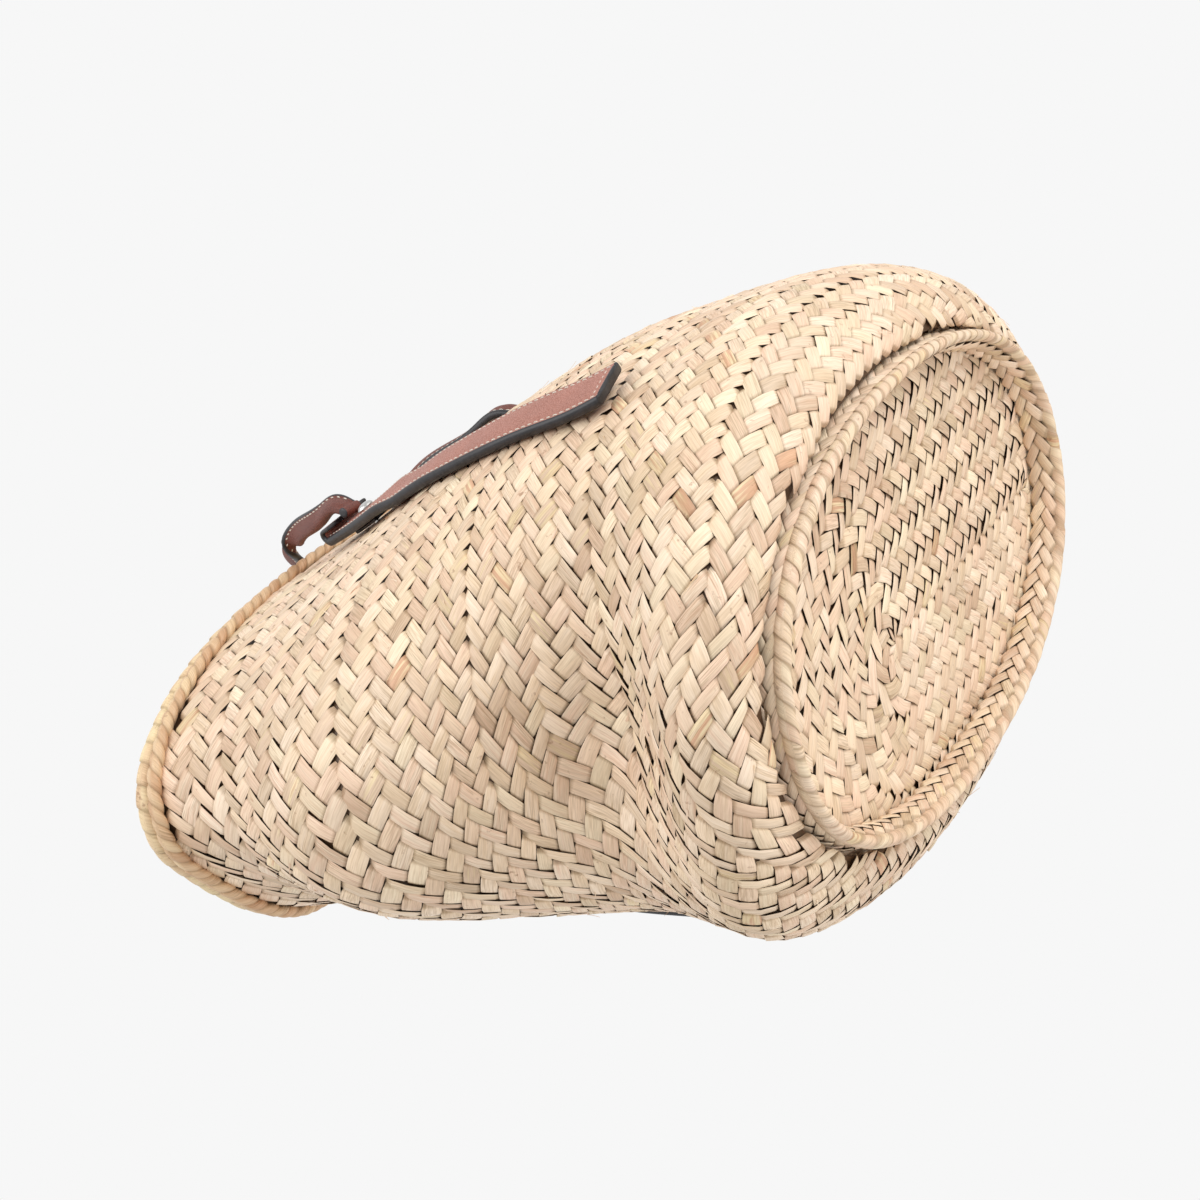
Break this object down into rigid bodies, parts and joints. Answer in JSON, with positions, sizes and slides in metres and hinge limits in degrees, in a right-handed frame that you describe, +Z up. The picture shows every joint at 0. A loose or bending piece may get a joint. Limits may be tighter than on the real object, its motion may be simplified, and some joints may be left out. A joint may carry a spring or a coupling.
{
  "type": "raffia basket",
  "caption": "Oval plaited leaf basket standing on a braided foot ring, with a corded open rim and short leather carrying handles hinged at stitched leather tabs.",
  "frame": {"origin": "centre of the bounding box at the underside of the foot ring, where the basket stands", "axes": "+X along the long side of the mouth, towards the far end; -Y is the front face, which the picture shows with its tab; +Z up out of the mouth"},
  "size_m": [0.3702, 0.239, 0.3165],
  "materials": {
    "leaf_plait": "dry plaited leaf, half matt",
    "leaf_cord": "dry wrapped leaf cord, half matt",
    "tab_leather": "fine grained, satin, dark painted edges",
    "handle_leather": "smooth, satin, dark painted edges",
    "rivet_metal": "polished"
  },
  "bodies": {
    "basket": {"wall_braid": "leaf_plait", "base_braid": "leaf_plait", "foot_ring": "leaf_cord", "rim_cord": "leaf_cord", "rim_strand": "leaf_cord", "front_near_tab": "tab_leather", "front_far_tab": "tab_leather", "back_near_tab": "tab_leather", "back_far_tab": "tab_leather", "front_near_handle_end": "handle_leather", "front_far_handle_end": "handle_leather", "back_near_handle_end": "handle_leather", "back_far_handle_end": "handle_leather", "front_near_rivet": "rivet_metal", "front_far_rivet": "rivet_metal", "back_near_rivet": "rivet_metal", "back_far_rivet": "rivet_metal"},
    "front_handle_strap": {"front_handle": "handle_leather"},
    "back_handle_strap": {"back_handle": "handle_leather"}
  },
  "joints": [
    {"name": "front_handle_swing", "type": "hinge", "parent": "basket", "child": "front_handle_strap", "pos_m": [-0.0396, -0.0589, 0.2436], "axis": [0.9945, 0.0397, -0.0971], "range_deg": [0, 130]},
    {"name": "back_handle_swing", "type": "hinge", "parent": "basket", "child": "back_handle_strap", "pos_m": [-0.0382, 0.1059, 0.2344], "axis": [-0.9919, 0.1176, 0.0481], "range_deg": [0, 125]}
  ]
}
